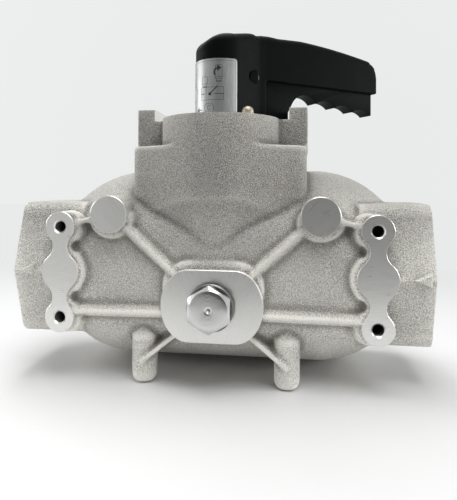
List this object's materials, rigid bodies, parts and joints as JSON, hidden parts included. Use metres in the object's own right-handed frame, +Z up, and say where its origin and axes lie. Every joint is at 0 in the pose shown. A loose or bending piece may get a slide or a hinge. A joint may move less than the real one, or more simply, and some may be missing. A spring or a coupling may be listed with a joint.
{
  "type": "hydraulic filter housing",
  "caption": "Cast head of a duplex hydraulic oil filter, with pipe ports on both ends, bowl sockets behind and a squeeze-grip changeover lever on top.",
  "frame": {"origin": "centre of the four M10 holes, on the face of the front mounting pads", "axes": "+X along the pipe from the outlet to the inlet, +Y from the pads into the head, +Z up along the lever's spindle"},
  "size_m": [0.336, 0.1583, 0.2934],
  "materials": {
    "cast_aluminium": "shot-blasted casting, fine even grain",
    "machined_aluminium": "face-milled, satin",
    "zinc_steel": "bright zinc plate",
    "plain_steel": "turned",
    "dark_steel": "black oxide",
    "spring_steel": "drawn wire",
    "bearing_bronze": "turned",
    "yellow_brass": "yellow passivated, dull",
    "seal_rubber": "smooth",
    "black_plastic": "moulded, fine satin grain",
    "grip_plastic": "moulded, fine satin grain",
    "silver_label": "silver foil with printed symbols"
  },
  "bodies": {
    "head": {"head_casting": "cast_aluminium", "front_plug": "zinc_steel", "front_plug_seal": "seal_rubber", "valve_cover": "machined_aluminium", "cover_seal": "seal_rubber", "cover_screws": "zinc_steel", "vent_stud": "zinc_steel", "vent_washer": "zinc_steel", "vent_cap": "yellow_brass", "upper_bush": "bearing_bronze", "spindle_seal": "seal_rubber", "lower_bush": "bearing_bronze", "upper_thrust_washer": "bearing_bronze", "lower_thrust_washer": "bearing_bronze", "socket_seal_left": "seal_rubber", "element_spigot_left": "machined_aluminium", "spigot_seal_left": "seal_rubber", "bypass_body_left": "bearing_bronze", "bypass_spring_left": "spring_steel", "socket_seal_right": "seal_rubber", "element_spigot_right": "machined_aluminium", "spigot_seal_right": "seal_rubber", "bypass_body_right": "bearing_bronze", "bypass_spring_right": "spring_steel"},
    "lever": {"spindle": "plain_steel", "valve_drum": "machined_aluminium", "drum_key": "plain_steel", "lever_shell": "black_plastic", "hub_sleeve": "plain_steel", "clamp_screw": "plain_steel", "label_plate": "silver_label", "pivot_pin": "dark_steel", "rod_spring": "spring_steel"},
    "trigger": {"grip_trigger": "grip_plastic"},
    "rod": {"equalising_rod": "plain_steel"},
    "poppet_left": {"bypass_poppet_left": "plain_steel"},
    "poppet_right": {"bypass_poppet_right": "plain_steel"}
  },
  "joints": [
    {"name": "lever_turn", "type": "hinge", "parent": "head", "child": "lever", "pos_m": [0, 0.044, 0.12], "axis": [0, 0, 1], "range_deg": [0, 114]},
    {"name": "trigger_squeeze", "type": "hinge", "parent": "lever", "child": "trigger", "pos_m": [0.02181, 0.05816, 0.164], "axis": [0.5446, -0.8387, 0], "range_deg": [0, 2.5], "stiffness_Nm_per_rad": 20, "springref_deg": -1.72},
    {"name": "rod_slide", "type": "slide", "parent": "lever", "child": "rod", "axis": [0, 0, -1], "range_m": [0, 0.0013], "deforming": ["rod_spring"]},
    {"name": "bypass_left", "type": "slide", "parent": "head", "child": "poppet_left", "axis": [0, 1, 0], "range_m": [0, 0.006], "stiffness_N_per_m": 2000, "springref_m": -0.005, "deforming": ["bypass_spring_left"]},
    {"name": "bypass_right", "type": "slide", "parent": "head", "child": "poppet_right", "axis": [0, 1, 0], "range_m": [0, 0.006], "stiffness_N_per_m": 2000, "springref_m": -0.005, "deforming": ["bypass_spring_right"]}
  ],
  "couplings": [
    {"joint": "rod_slide", "follows": "trigger_squeeze", "m_per_rad": 0.026}
  ]
}
